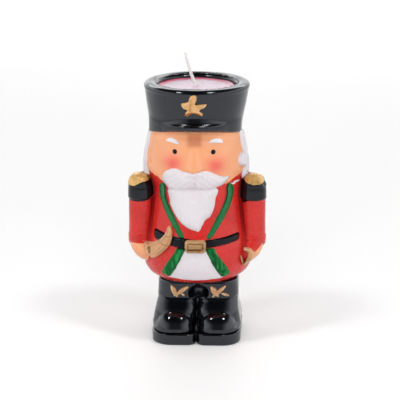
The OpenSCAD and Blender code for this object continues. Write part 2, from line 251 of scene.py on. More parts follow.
# Sides of the turned forms, from the bottom up, as (radius, z).

hat_side = [
    (RIM_R - 4.5, 98), (RIM_R - 3.5, 108), (RIM_R - 3.3, 114), (RIM_R - 2.9, 120),
    (RIM_R - 1.7, 127), (RIM_R - 0.85, RIM_Z - 6), (RIM_R - 0.4, RIM_Z - 3.4),
    (RIM_R - 0.1, RIM_Z - 2.6), (RIM_R, RIM_Z - 1.8), (RIM_R - 0.35, RIM_Z - 1.0),
    (RIM_R - 1.1, RIM_Z - 0.4), (RIM_R - 2.6, RIM_Z), (MOUTH_R + 2.6, RIM_Z - 0.05),
    (MOUTH_R + 1.0, RIM_Z - 0.5), (MOUTH_R + 1.0, RIM_Z),
]
head_side = [
    (18, 74), (HEAD_R - 3.4, 80), (HEAD_R - 2.6, 84), (HEAD_R - 1.3, 88), (HEAD_R - 0.3, 92.5),
    (HEAD_R, 97), (HEAD_R - 0.15, 102), (HEAD_R - 0.8, 107), (HEAD_R - 1.7, 112),
    (HEAD_R - 3.2, 118), (15, 122),
]
hair_side = [
    (22, 86.6), (26.2, 87.6), (27.7, 90), (28.1, 94), (27.7, 100), (26.6, 106), (25.2, 112),
    (24.4, 117), (20, 119),
]
coat_side = [
    (12, HEM_Z + 0.4), (18.6, HEM_Z + 0.8), (21.6, HEM_Z + 1.5), (24.2, HEM_Z + 2.8),
    (26.8, HEM_Z + 5.2), (28.6, HEM_Z + 9), (COAT_R, HEM_Z + 14), (COAT_R - 0.5, HEM_Z + 20.5),
    (COAT_R - 1.6, HEM_Z + 25.5), (COAT_R - 2.8, HEM_Z + 31.7), (COAT_R - 3.9, HEM_Z + 39),
    (COAT_R - 4.6, HEM_Z + 46), (COAT_R - 4.6, HEM_Z + 53), (COAT_R - 4.4, COLLAR_Z - 1.2),
    (COAT_R - 6, COLLAR_Z + 0.4), (12, COLLAR_Z + 0.5),
]
sleeve_side = [
    (4.6, CUFF_LO[2] + 0.5), (ARM_R - 0.9, CUFF_LO[2]), (ARM_R - 0.1, CUFF_LO[2] + 1.0),
    (ARM_R, CUFF_HI[2]), (ARM_R - 0.1, CUFF_HI[2] + 6), (ARM_R, 72), (ARM_R, 79),
    (ARM_R - 0.15, 83), (ARM_R - 0.9, 86.6), (ARM_R - 2.9, 89.2), (0.5, 90.5),
]

# Outlines in the front view, as (x, z).

moustache_knots = [
    (-17.9, 90.5), (-16.7, 94.1), (-14, 96.3), (-10.2, 97.3), (-6.5, 96), (-0.8, 95.4),
    (4.4, 96.3), (9, 94.9), (13.1, 92.6), (17.2, 91.9), (14.6, 88.1), (10.2, 86.5),
    (4.5, 85.2), (-0.6, 86.4), (-6, 85.2), (-13.1, 84.7), (-15.7, 86.9)]
beard_knots = [
    (-12.6, 86.5), (-13.7, 79.3), (-12.8, 75.3), (-9.9, 70.5), (-6.1, 66.7), (-1.9, 64.6),
    (1.8, 63.9), (3.3, 66.5), (5.1, 69.5), (7.9, 71.9), (9.7, 76), (10.2, 80.1), (9.9, 86.5)]
left_brow_knots = [
    (7.0, 111.4), (8.3, 113.0), (10.7, 113.7), (13.3, 113.3), (14.8, 111.6), (14.2, 110.5),
    (11.6, 111.0), (8.9, 111.3)]
right_brow_knots = [
    (-15.7, 112.5), (-14, 114), (-11.9, 114.3), (-9.7, 113.6), (-7.9, 111.8), (-9.7, 111.4),
    (-11.9, 111.8), (-14, 112.1)]
lapel_knots = [
    (16.0, 86.8), (17.8, 88.6), (19.6, 85.3), (19.1, 79.9), (17.6, 75.1), (15.1, 69.9),
    (11.6, 64.2), (8.5, 59.8), (7.2, 59.2), (5.8, 59.8), (7.5, 63.6), (11.0, 70.5), (14.3, 76.8),
    (15.9, 81.7)]
skirt_trim_knots = [
    (5.5, 54.8), (7.4, 50.2), (10.0, 45.0), (13.2, 39.8), (14.4, 38.7), (16.5, 39.0),
    (18.3, 39.9), (18.2, 41.4), (16.6, 44.6), (14.4, 48.0), (12.0, 51.4), (9.6, 54.9)]
shirt_knots = [
    (-5.5, 55), (-7.6, 50), (-10.2, 45), (-13.8, 39.6), (-14.4, 38.1), (-8, 37.4), (0, 36.9),
    (8, 37.4), (14.4, 38.1), (13.8, 39.6), (10.2, 45), (7.6, 50), (5.5, 55), (0, 55.2)]
horn_knots = [
    (-28.2, 54.2), (-24, 54.9), (-19.5, 57.8), (-16.2, 61.6), (-15.1, 64.4), (-14, 65.6),
    (-12.6, 64.8), (-12.1, 61.2), (-12.9, 57.3), (-15.6, 53.4), (-19.4, 49.5), (-22.2, 47.4),
    (-26, 47.6)]
star_knots = [
    (-1.8, 137.2), (0.1, 137.7), (1.4, 136.9), (1.2, 134.8), (0.6, 132.7), (3.4, 132.6),
    (6.6, 132.5), (5.1, 130.5), (2.9, 129.4), (4.3, 127.7), (4.4, 126.2), (3.0, 126.1),
    (1.4, 127.0), (-0.3, 127.4), (-2.2, 126.9), (-3.8, 125.8), (-5.1, 126.2), (-4.9, 127.7),
    (-3.9, 129.2), (-5.9, 130.0), (-7.0, 131.8), (-6.5, 133.1), (-4.5, 133.5), (-3.2, 134.1),
    (-2.6, 136.1)]
neck_knots = [
    (-27, 95), (-24, 92.2), (-20, 90.7), (-18, 89.3), (-14, 88.4), (0, 88), (14, 88), (17, 88.6),
    (19.7, 90.3), (24, 92.1), (27, 95), (20, 100), (-20, 100)]


def flipped(knots):
    return [(-x, z) for x, z in knots]


hat_map = turned(hat_side, steps=6)
head_map = turned(head_side)
hair_map = turned(hair_side)
coat_map = turned(coat_side)
sleeve_map = turned(sleeve_side)
OUTLINES = {node: fitted(node, knots) for node, knots in (
    ("moustache", moustache_knots), ("beard", beard_knots), ("shirt_front", shirt_knots),
    ("left_lapel_trim", lapel_knots), ("right_lapel_trim", flipped(lapel_knots)),
    ("left_skirt_trim", skirt_trim_knots), ("right_skirt_trim", flipped(skirt_trim_knots)))}
neck_line = Outline(spline(neck_knots, 3, closed=True))


# ---------------------------------------------------------------- the casting as one field

def brim(y, z):
    """Below zero over the hat's sloping lower edge, which kicks up a little in front."""
    edge = BRIM_MID_Z - BRIM_SLOPE * y + 0.8 * step_up((-y - 14) / 12)
    return (edge - z) * math.cos(math.atan(BRIM_SLOPE))


def lean(z):
    """The hat's axis tips a little as it rises."""
    return LEAN + np.interp(z, [112, RIM_Z], [-0.35, 0.55])


def hat(x, y, z):
    r = np.hypot(x - lean(z), y)
    lip = hat_map(r, z)
    bore_r = np.interp(z, [RIM_Z - 8, RIM_Z - 3.5, RIM_Z - 1.4, RIM_Z - 0.4, RIM_Z + 1],
                       [MOUTH_R - 1.0, MOUTH_R - 0.9, MOUTH_R - 0.7, MOUTH_R + 0.3, MOUTH_R + 2.6])
    keep = np.minimum(bore_r - r, z - WAX_Z + 3.0)
    body = smax(lip, keep, 0.5)
    return smax(body, brim(y, z), 0.6)


def peak(x, y, z):
    """The peak: a hollow cove runs down from the hat to a thin lip, widest in front."""
    lo, hi = box("hat_peak")
    peak_r = (hi[0] - lo[0]) / 2 - 0.15
    lip = np.hypot(x - LEAN, y - (lo[1] + peak_r)) - peak_r
    wall = np.hypot(x - lean(z), y) - (RIM_R - 2.95)
    room = 1.5 * np.clip(wall - lip - 1.3, 0.0, 7)
    lip = wall - room
    along = np.clip(wall / np.maximum(room, 0.2), 0, 1)
    lip_z = hi[2] - 3.9
    cove = lip_z + 1.9 * room * (1 - along) ** 2.2 + 0.12 * room * bell(along - 1, 0.25)
    d = smax(lip, (z - cove) * 0.7, 0.9)
    d = smax(d, brim(y, z) - 0.1, 0.6)
    return smax(d, y + 6, 2.0)


def nose(x, y, z):
    """A round cone whose tip is a blunt wedge over the moustache."""
    lo, hi = box("nose")
    cx = (lo[0] + hi[0]) / 2
    length = hi[2] - lo[2] - 3.6
    t = np.clip((z - lo[2] - 2.2) / length, 0, 1)
    r = 4.3 - 3.1 * t
    cy = -24.35 - 0.2 * t
    cz = lo[2] + 2.2 + t * length
    d = np.sqrt(((x - cx) * 0.92) ** 2 + (y - cy) ** 2 + ((z - cz) * 1.15) ** 2) - r
    return smax(d, (lo[2] - 0.5 - z), 1.0)


def ear(x, y, z, s):
    lo, hi = box("left_ear" if s > 0 else "right_ear")
    cx = lo[0] if s > 0 else hi[0]
    dx, dy, dz = (x - cx) / 2.3, (y - (lo[1] + hi[1]) / 2) / 3.0, (z - (lo[2] + hi[2]) / 2) / 4.9
    d = (np.sqrt(dx ** 2 + dy ** 2 + dz ** 2) - 1) * 2.3
    hollow = bell(np.hypot(dy * 3.0 + 0.4, dz * 4.9 - 0.4), 1.7)
    return d + 0.7 * hollow * (dx * s > 0.2)


def arm(x, y, z, s):
    r = np.hypot(x - s * ARM_X, y - ARM_Y)
    d = sleeve_map(r, z)
    cuff = step_up((CUFF_HI[2] + 0.4 - z) / 0.8)
    board = step_up((z - EPAULETTE_LO[2]) / 0.6)
    return d - 0.3 * cuff - 0.45 * board


def hand(x, y, z, s):
    """A closed fist under the cuff, tucked in towards the coat."""
    half_w = 6.6
    dx, dy, dz = x - s * (ARM_X - 1.3), y - (ARM_Y - 2.2), z - (CUFF_LO[2] - 1.6)
    tuck = s * 0.32 * dz
    q = np.sqrt(((dx - tuck) / half_w) ** 2 + (dy / 7.0) ** 2 + (dz / 7.6) ** 2)
    return (q - 1) * half_w


def torso(x, y, z):
    """The coat, with a shoulder on each side that runs out behind the sleeve's top."""
    d = coat_map(np.hypot(x, y), z)
    side = np.stack([np.abs(x), y, z], 1)
    shoulder, _ = segment(side, (20, -2.0, 86.8), (27.6, -4.2, 87.8))
    return smin(d, shoulder - 2.7, 2.2)


def toe_dome(x, y, z, s):
    """How far out of the toe cap's middle a place is. The dome is a little flat across."""
    c = (TOE_LO + TOE_HI) / 2
    across = np.abs(x - s * c[0])
    across = (across - 2.0 * np.tanh(across / 3.7)) * TOE_R / (TOE_R - 2.0)
    return np.sqrt(across ** 2 + (y - c[1]) ** 2 + (z - SOLE_TOP - 0.9) ** 2)


def boot_shaft(x, y, z, s):
    """The shaft, with its turned-down top and the arch over the instep."""
    outer = np.interp(z, [6, 9, 13, 18, 23, 27, 34], [23.2, 23.5, 22.9, 21.9, 21.2, 21.0, 20.8])
    rise = z - 16.6
    over = step_up((z - TURNOVER_Z) / 0.6)
    front = (18.3 - 0.315 * (rise + np.sqrt(rise ** 2 + 1.5))) * (1 - over) + 17.3 * over
    rear = np.interp(z, [6, 10, 16, 25, 34], [20.6, 20.0, 18.4, 17.8, 17.8])
    deep = np.where(y < 0, front, rear)
    cx = s * outer / 2
    half_w = outer / 2 + 0.1
    inner = s * (x - cx) < 0
    corner = np.where(inner, 3.2 + 4.3 * step_up((24.5 - z) / 3), 9.4)
    plan = rounded(np.abs(x - cx) - half_w + corner, np.abs(y) - deep + corner, corner)
    shaft = smax(smax(plan, z - BOOT_TOP - 1, 0.4), SOLE_TOP + 0.5 - z, 0.6)
    cuff = step_up((z - TURNOVER_Z) / 0.9) * step_up((33.2 - z) / 0.6)
    shaft = shaft - 0.35 * cuff
    arch = np.sqrt(((x - 0.35) / 5.4) ** 2 + ((y + 17.6) / 7.0) ** 2 + ((z - 27.2) / 4.6) ** 2) - 1
    return smax(shaft, -arch * 4.2, 0.4)


def boot(x, y, z, s):
    """Shaft, toe cap and welt of one boot, and the thin web that joins the two."""
    x = x - 0.8 * step_up((z - 15) / 13)
    below = SOLE_TOP + 0.5 - z
    toe = smax(toe_dome(x, y, z, s) - TOE_R, below, 0.6)
    welt = step_plan(x, y, s, 0.9, 8.0)
    welt = smax(smax(welt, z - SOLE_TOP - 3.4, 2.4), below, 0.6)
    upper = smin(smin(boot_shaft(x, y, z, s), welt, 1.6), toe, 0.5)
    web_end = 17.2 - 6.5 * step_up((z - 9) / 5)
    web = both(np.abs(x) - 0.55, np.abs(y) - web_end, z - 25, 0.8 - z)
    return smin(upper, web, 0.5)


def step_plan(x, y, s, inset, inner=5.0):
    """The sole's stadium plan, inset all round."""
    half_w = (SOLE_HI[0] - SOLE_LO[0]) / 2 - inset
    half_l = SOLE_HI[1] - inset
    cx = (SOLE_LO[0] + SOLE_HI[0]) / 2
    corner = np.where(s * x < cx, inner, half_w * 0.95)
    return rounded(np.abs(x - s * cx) - half_w + corner, np.abs(y) - half_l + corner, corner)


def sole(x, y, z, s):
    taper = 0.10 * (SOLE_TOP - z)
    d = step_plan(x, y, s, 0.0) + np.clip(taper, 0, 1) * 0.5
    return smax(smax(d, z - SOLE_TOP, 0.9), -z, 0.8)


def belt_line(x, y, z):
    """Distance to the belt's band. In front it is narrower towards the left hand, and it
    rises towards both arms."""
    lo, hi = box("belt_front")
    left = step_up((x + 6) / 12)
    rise = np.where(x > 0, 1.7, 2.7) * np.clip(np.abs(x) / 21, 0, 1.2) ** 2
    rise = np.where(y < 0, rise, 0.0)
    half = np.where(y < 0, BELT_HALF * (1.08 - 0.26 * left), BELT_HALF * 0.94)
    ends = np.where(x > 0, x - hi[0] + 0.3, lo[0] - 1.4 - x)
    qx = np.where(y < 0, ends + half * 0.7, -9.0)
    qz = np.abs(z - BELT_Z + 0.1 - rise) - half * 0.3
    return rounded(qx, qz, half * 0.7)


def relief(p):
    """How far the modelled surface stands out from the plain turned body, in front."""
    x, y, z = p.T
    d = -OUTLINES["moustache"](x, z)
    strands = np.sin((np.abs(x + 0.7) * 0.75 + z * 0.9) * 2.1) * bell(z - 91, 6)
    crease = 1 - 0.45 * bell(x + 0.7, 0.9) * step_up((92.5 - z) / 4)
    moustache = 2.3 * (1 - np.exp(-np.maximum(d, 0) / 1.5)) * crease \
        + 0.10 * strands * step_up(d / 2)
    d = -OUTLINES["beard"](x, z)
    folds = np.sin(x * 1.35 + 0.05 * (z - 60) * x * 0.6 + 0.6) + 0.6 * np.sin(x * 2.6 + z * 0.12)
    beard = 2.4 * (1 - np.exp(-np.maximum(d, 0) / 2.2)) + 0.10 * folds * step_up(d / 3)
    lift = np.maximum(np.maximum(moustache, beard), 0)
    ribs = 0.08 * np.sin((z + np.abs(x) * 0.9) * 3.2)
    for part, height in (("lapel_trim", 0.95), ("skirt_trim", 1.05 + ribs)):
        for _, side in SIDES:
            line = OUTLINES[f"{side}_{part}"]
            lift = np.maximum(lift, height * step_up(-line(x, z)))
    return np.maximum(np.where(y < 0, lift, 0), 1.15 * step_up(-belt_line(x, y, z) / 0.8))


def face(p):
    """The soft modelling of the brow, the eye hollows and the cheeks."""
    x, y, z = p.T
    side = np.abs(x - LEAN)
    out = 0.7 * bell(side - 11.5, 5.0) * bell(z - 98.5, 5.0)
    out += 0.55 * bell(z - 112.3 + 0.05 * side, 1.5) * bell(side - 7, 7.5)
    out -= 0.35 * bell(side - 9.8, 3.6) * bell(z - 106.2, 2.8)
    out -= 0.3 * bell(side, 4.0) * bell(z - 110.0, 1.4)
    for top, bottom in (((19.6, 116), (24.4, 103.5)), ((-22.4, 112), (-24.3, 97))):
        crease, _ = bar(x, z, top, bottom)
        out -= 0.5 * bell(crease, 0.75)
    return np.where(y < 0, out, 0)


def hair_shape(x, y, z):
    """Thick hair round the sides and back, with a tuft in front of the left ear."""
    r = np.hypot(x - LEAN, y)
    angle = np.arctan2(x - LEAN, y)
    behind = step_up((y + 2) / 6)
    waves = 0.30 * np.sin(angle * 17 + 1.2 * np.sin(z * 0.35)) + 0.16 * np.sin(angle * 41 + z * 0.3)
    d = hair_map(r, z) - waves * (0.25 + 0.6 * behind)
    edge = -8.0 - 0.6 * step_up((z - 104) / 8) + 0.35 * np.sin(z * 0.75)
    front = edge - y
    tuft = np.hypot((y + 8.7) / 1.25, z - 99.0) - 3.6
    tuft = np.maximum(tuft, LEAN + 5 - x)
    lower = 88.6 + 0.7 * np.sin(angle * 9) - z
    d = smax(d, np.minimum(front, tuft), 1.4)
    return smax(smax(d, lower, 1.2), -brim(y, z) - 0.3, 0.5)


def casting_parts(p):
    """The distance to each big form, so that the paint lines can follow the grooves."""
    x, y, z = p.T
    lean_r = np.hypot(x - LEAN, y)
    forms = {
        "hat": smin(hat(x, y, z), peak(x, y, z), 1.5),
        "head": smin(head_map(lean_r, z), nose(x, y, z), 1.3),
        "hair": hair_shape(x, y, z),
        "torso": torso(x, y, z),
    }
    for s, _ in SIDES:
        forms["head"] = smin(forms["head"], ear(x, y, z, s), 0.7)
        forms["arm", s] = arm(x, y, z, s)
        forms["hand", s] = hand(x, y, z, s)
        forms["boot", s] = boot(x, y, z, s)
        forms["sole", s] = sole(x, y, z, s)
    forms["head"] = np.maximum(forms["head"], -brim(y, z) - 0.4)
    return forms


def casting(p):
    """The whole glazed figure: one smooth distance field, negative inside."""
    f = casting_parts(p)
    z = p[:, 2]
    head = f["head"] - face(p) * step_up((z - 86) / 4)
    d = smin(smin(head, f["hair"], 0.5), f["hat"], 0.35)
    body = smin(f["torso"], d, 0.8)
    for s, _ in SIDES:
        body = smin(body, smin(f["arm", s], f["hand", s], 0.6), 1.1)
    body = body - relief(p)
    for s, _ in SIDES:
        body = smin(body, smin(f["boot", s], f["sole", s], 0.25), 0.5)
    lumps = step_up((z - CROWN_LO[2] + 1.2) / 2) * step_up((np.abs(p[:, 0]) - 24) / 3) \
        * step_up((91 - z) / 1.5)
    body = body - lumps * (0.35 + 0.28 * ripples(p, 5.0, 5))
    return body + 0.05 * ripples(p, 14.0, 3)


# ---------------------------------------------------------------- meshing

def polygonise(field, lo, hi, cell):
    """Turns the zero surface of a field into vertices and triangles."""
    block = 3                # a block of cells is first tried at its middle
    band = cell * 4          # distances are cut off beyond this
    lo = np.array(lo, float)
    n = (np.ceil((np.array(hi) - lo) / cell / block).astype(int)) * block
    centres = [lo[i] + cell * (np.arange(n[i] // block) * block + 1) for i in range(3)]
    grid = np.stack(np.meshgrid(*centres, indexing="ij"), -1).reshape(-1, 3)
    rough = field(grid).reshape([m // block for m in n])
    near = np.abs(rough) < cell * block * 1.6
    values = np.sign(rough) * band
    for axis in range(3):
        values = np.repeat(values, block, axis)
        near = np.repeat(near, block, axis)
    index = np.argwhere(near)
    values[near] = np.clip(field(lo + index * cell), -band, band)
    volume = openvdb.FloatGrid(band)
    volume.copyFromArray(np.ascontiguousarray(values, np.float32))
    points, quads = volume.convertToQuads(0)
    points = lo + points.astype(float) * cell
    quads = quads.astype(int)
    a, b, c = points[quads[:, 0]], points[quads[:, 1]], points[quads[:, 2]]
    if (np.cross(b - a, c - a) * gradient(field, (a + c) / 2, cell)).sum() < 0:
        quads = quads[:, ::-1]
    points = settle(field, points, quads, cell)
    short = np.linalg.norm(points[quads[:, 0]] - points[quads[:, 2]], axis=1) \
        < np.linalg.norm(points[quads[:, 1]] - points[quads[:, 3]], axis=1)
    one = np.where(short[:, None], quads[:, [0, 1, 2]], quads[:, [1, 2, 3]])
    two = np.where(short[:, None], quads[:, [0, 2, 3]], quads[:, [1, 3, 0]])
    return points, np.vstack([one, two])


def gradient(field, p, h):
    """The field's slope, from the four corners of a small tetrahedron."""
    g = np.zeros_like(p)
    for corner in ((1, 1, 1), (1, -1, -1), (-1, 1, -1), (-1, -1, 1)):
        way = np.array(corner, float)
        g += way * field(p + way * h)[:, None]
    return g / (4 * h)


def onto(field, p, cell, rounds=2):
    """Moves points onto the field's zero surface."""
    for _ in range(rounds):
        g = gradient(field, p, 0.08)
        size = np.maximum((g * g).sum(1), 0.05)
        move = g * (field(p) / size)[:, None]
        length = np.linalg.norm(move, axis=1, keepdims=True)
        p = p - move * np.minimum(1, 0.6 * cell / np.maximum(length, 1e-9))
    return p


def settle(field, points, quads, cell):
    """Evens out the mesh along the surface, and puts it exactly on the surface."""
    pairs = np.vstack([quads[:, [0, 1]], quads[:, [1, 2]], quads[:, [2, 3]], quads[:, [3, 0]]])
    pairs = np.vstack([pairs, pairs[:, ::-1]])
    count = np.bincount(pairs[:, 0], minlength=len(points))[:, None]
    for _ in range(2):
        near = np.stack([np.bincount(pairs[:, 0], points[pairs[:, 1], i], len(points))
                         for i in range(3)], 1) / count
        points = onto(field, points * 0.5 + near * 0.5, cell, 1)
    return onto(field, points, cell, 1)


def led_by(tris, leads):
    """The triangles, each turned so that its marked corner comes first."""
    k = np.argmax(leads, axis=1)
    return np.stack([tris[np.arange(len(tris)), (k + i) % 3] for i in range(3)], 1)


def split(points, tris, values):
    """Cuts triangles along the line where values pass zero. Gives the new points, the
    triangles below zero and the triangles above it."""
    v = np.where(np.abs(values) < ON_LINE, 0, values)
    sign = np.sign(v[tris]).astype(int)
    low = (sign <= 0).all(1) & (sign < 0).any(1) | (sign == 0).all(1)
    high = (sign >= 0).all(1) & ~low
    if (low | high).all():
        return points, tris[low], tris[high]
    touching = ~(low | high) & (sign == 0).any(1)
    crossing = ~(low | high | touching)
    one = led_by(tris[touching], sign[touching] == 0)
    lone = -np.sign(sign[crossing].sum(1, keepdims=True))
    two = led_by(tris[crossing], sign[crossing] == lone)
    cuts = np.sort(np.vstack([one[:, [1, 2]], two[:, [0, 1]], two[:, [0, 2]]]), 1)
    ends, where = np.unique(cuts, axis=0, return_inverse=True)
    m, n, k = np.split(where.ravel() + len(points), [len(one), len(one) + len(two)])
    a, b = v[ends.T]
    f = (a / (a - b))[:, None]
    points = np.vstack([points, points[ends[:, 0]] * (1 - f) + points[ends[:, 1]] * f])
    near = np.stack([one[:, 0], one[:, 1], m], 1)
    far = np.stack([one[:, 0], m, one[:, 2]], 1)
    tip = np.stack([two[:, 0], n, k], 1)
    rest = np.vstack([np.stack([n, two[:, 1], two[:, 2]], 1), np.stack([n, two[:, 2], k], 1)])
    near_low = v[one[:, 1]] < 0
    tip_low = v[two[:, 0]] < 0
    rest_low = ~np.tile(tip_low, 2)
    below = [tris[low], near[near_low], far[~near_low], tip[tip_low], rest[rest_low]]
    above = [tris[high], near[~near_low], far[near_low], tip[~tip_low], rest[~rest_low]]
    return points, np.vstack(below), np.vstack(above)


# ---------------------------------------------------------------- Blender objects

MATERIALS = {}
SLOT_OF = {row["node"]: row["material_slot"] for row in frame["record"]["subparts"]}
# Pieces that are painted otherwise than their slot's plain look.
OWN_PAINT = {
    "board_black": ("left_epaulette", "right_epaulette"),
    "belt_black": ("belt_front", "belt_back"),
    "eye_black": ("left_eye", "right_eye"),
    "crown_gold": ("left_epaulette_crown", "right_epaulette_crown"),
    "star_gold": ("hat_star",),
    "horn_gold": ("horn", "hilt_guard", "left_boot_bow", "right_boot_bow"),
    "green_brushed": ("left_skirt_trim", "right_skirt_trim"),
}
PAINT_OF = {node: paint for paint, nodes in OWN_PAINT.items() for node in nodes}


def add_to_scene(name, data):
    obj = bpy.data.objects.new(name, data)
    bpy.context.scene.collection.objects.link(obj)
    return obj


def add_piece(mesh, node):
    """Puts a finished mesh in the place of its CAD node."""
    obj = add_to_scene(mesh.name, mesh)
    mesh.materials.append(MATERIALS[PAINT_OF.get(node, SLOT_OF[node])])
    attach(obj, "root")
    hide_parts(node)


def unit(vectors):
    """The vectors at a length of one."""
    return vectors / np.maximum(np.linalg.norm(vectors, axis=1, keepdims=True), 1e-9)


def smooth_mesh(name, points, faces):
    mesh = bpy.data.meshes.new(name)
    mesh.from_pydata((points * MM).tolist(), [], faces)
    mesh.polygons.foreach_set("use_smooth", [True] * len(faces))
    return mesh


def add_masks(mesh, masks):
    for name, values in masks.items():
        layer = mesh.attributes.new(name, "FLOAT", "POINT")
        layer.data.foreach_set("value", values)


def glaze_masks(field, points, normals):
    """Where the glaze pools in hollows, with painted shade laid in there too, and where it runs thin
    over edges, with a painted sheen laid on there too.
    """
    # The first mask marks hollows for pooled glaze and painted shade; the second marks edges for thin
    # glaze and a painted sheen.
    pool = np.clip(1 - field(points + normals * POOL_REACH) / POOL_REACH, 0, 1)
    thin = np.clip(1 + field(points - normals * EDGE_REACH) / EDGE_REACH, 0, 1)
    return {"pool": pool, "thin": thin * np.clip(1 - 4 * pool, 0, 1)}


def shell_mesh(name, points, tris, normals, masks):
    """A closed skin: the outer surface, a copy of it set inwards, and the rim between."""
    used, local = np.unique(tris, return_inverse=True)
    tris = local.reshape(-1, 3)
    points, normals = points[used], normals[used]
    n = len(points)
    edges = np.vstack([tris[:, [0, 1]], tris[:, [1, 2]], tris[:, [2, 0]]])
    code = edges[:, 0] * n + edges[:, 1]
    back = edges[:, 1] * n + edges[:, 0]
    start, end = edges[~np.isin(code, back)].T
    rim = np.stack([end, start, start + n, end + n], 1)
    faces = tris.tolist() + (tris[:, ::-1] + n).tolist() + rim.tolist()
    mesh = smooth_mesh(name, np.vstack([points, points - normals * SKIN]), faces)
    sideways = np.cross(points[end] - points[start], -normals[start])
    rim_normals = unit(np.repeat(sideways, 4, axis=0))
    loops = np.vstack([normals[tris.ravel()], -normals[tris[:, ::-1].ravel()], -rim_normals])
    mesh.normals_split_custom_set(loops.tolist())
    add_masks(mesh, {mask: np.tile(values[used], 2) for mask, values in masks.items()})
    return mesh


def closed_mesh(name, field, points, tris):
    normals = unit(gradient(field, points, SLOPE_STEP))
    mesh = smooth_mesh(name, points, tris.tolist())
    mesh.normals_split_custom_set_from_vertices(normals.tolist())
    add_masks(mesh, glaze_masks(field, points, normals))
    return mesh


# ---------------------------------------------------------------- materials

class Shader:
    """The nodes of a material or a world, with a short call for each kind used here."""

    def __init__(self, owner):
        owner.use_nodes = True
        self.nodes = owner.node_tree.nodes
        self.links = owner.node_tree.links
        self.base = (1.0, 1.0, 1.0)

    def put(self, socket, value):
        """Links a node's output to a socket, or sets the socket's own value."""
        if hasattr(value, "is_linked"):
            self.links.new(value, socket)
        elif socket.type == "RGBA":
            socket.default_value = (*value, 1)
        else:
            socket.default_value = value

    def add(self, kind, **inputs):
        node = self.nodes.new("ShaderNode" + kind)
        for name, value in inputs.items():
            self.put(node.inputs[name], value)
        return node

    def surface(self, name, value):
        self.put(self.nodes["Principled BSDF"].inputs[name], value)

    def noise(self, scale, detail=3.0, roughness=0.5, stretch=None):
        source = self.add("TexCoord").outputs["Object"]
        if stretch:
            source = self.add("Mapping", Scale=stretch, Vector=source).outputs["Vector"]
        return self.add("TexNoise", Scale=scale, Detail=detail, Roughness=roughness,
                        Vector=source).outputs["Fac"]

    def ramp(self, source, low, high):
        """A ramp between two (place, value) stops, where a value is a grey or a colour."""
        node = self.add("ValToRGB", Fac=source)
        for element, (place, value) in zip(node.color_ramp.elements, (low, high)):
            element.position = place
            element.color = (*value, 1) if isinstance(value, tuple) else (value, value, value, 1)
        return node.outputs["Color"]

    def mask(self, name, low=0.0, high=1.0):
        """A painted mask of the mesh, stretched from low and high to 0 and 1."""
        node = self.add("Attribute")
        node.attribute_name = name
        return self.ramp(node.outputs["Fac"], (low, 0.0), (high, 1.0))

    def mix(self, factor, a, b, how="MIX"):
        node = self.add("Mix")
        node.data_type = "RGBA"
        node.blend_type = how
        self.put(node.inputs["Factor"], factor)
        self.put(node.inputs[6], a)
        self.put(node.inputs[7], b)
        return node.outputs[2]

    def lay(self, factor, colour, how="MIX"):
        """Lays one more colour over the surface, as far as the factor says."""
        self.base = self.mix(factor, self.base, colour, how)
        self.surface("Base Color", self.base)

    def bump(self, height, strength, distance):
        node = self.add("Bump", Strength=strength, Distance=distance, Height=height)
        self.surface("Normal", node.outputs["Normal"])


def new_material(name):
    material = bpy.data.materials.new(name)
    MATERIALS[name] = material
    return Shader(material)


def linear(*colour):
    """An sRGB colour of 0-255 as the linear colour that a shader takes."""
    parts = [c / 255 for c in colour]
    return tuple(c / 12.92 if c <= 0.04045 else ((c + 0.055) / 1.055) ** 2.4 for c in parts)


def blended(a, b, share):
    return tuple((1 - share) * m + share * n for m, n in zip(a, b))


def glaze(name, main, deep, pale, gloss=0.10, wave=0.00012, level=0.5, cloud=90, reach=0.55,
          dull=0.2):
    """Coloured glaze: deeper in hollows, where it pools and where painted shade is laid in; paler over
    edges, where it runs thin and where a painted sheen is laid on; gently uneven.
    """
    shader = new_material(name)
    main, deep, pale = linear(*main), linear(*deep), linear(*pale)
    shader.base = main
    patchy = shader.ramp(shader.noise(cloud, 4), (0.35, 0.0), (0.7, 1.0))
    shader.lay(patchy, blended(main, deep, 0.28))
    fine = shader.ramp(shader.noise(1400, 2), (0.4, 0.0), (0.75, 0.25))
    shader.lay(fine, blended(main, pale, 0.45))
    # Painted shade: the deep colour fills hollows and grooves, for pooled glaze and for the shade that
    # falls there; the hollows are made rougher too.
    pool = shader.mask("pool", 0.05, reach)
    shader.lay(pool, deep)
    # Painted sheen: the pale colour lies over edges, for thin glaze and as a painted highlight.
    shader.lay(shader.mask("thin", 0.12, 0.7), pale)
    rough = shader.ramp(shader.noise(220, 3), (0.3, gloss * 0.8), (0.7, gloss * 1.5))
    shader.surface("Roughness", shader.mix(pool, rough, (dull, dull, dull)))
    shader.surface("IOR", 1.5)
    shader.surface("Specular IOR Level", level)
    shader.bump(shader.noise(160, 2), 0.35, wave)
    return shader


def glaze_black(name, gloss, level):
    shader = glaze(name, (9, 10, 13), (1, 1, 2), (20, 22, 27), gloss, 0.0001, level)
    shader.surface("Specular Tint", (0.84, 0.90, 1.0))


def glaze_red():
    shader = glaze("glaze_red", (200, 38, 32), (140, 0, 4), (212, 76, 72), gloss=0.24,
                   wave=0.00009, level=0.4, dull=0.8)
    shader.lay(shader.mask("slip"), linear(240, 238, 238))


def glaze_skin():
    shader = glaze("glaze_skin", (230, 160, 116), (224, 148, 102), (238, 174, 132), gloss=0.16,
                   wave=0.00006, reach=1.0)
    shader.lay(shader.mask("blush", 0.0, 1.3), linear(222, 98, 84))
    # Painted shade and a painted shadow in brown: between and beside the brows, and under the hat's
    # brim.
    shader.lay(shader.mask("brow", 0.0, 1.1), linear(190, 112, 76))


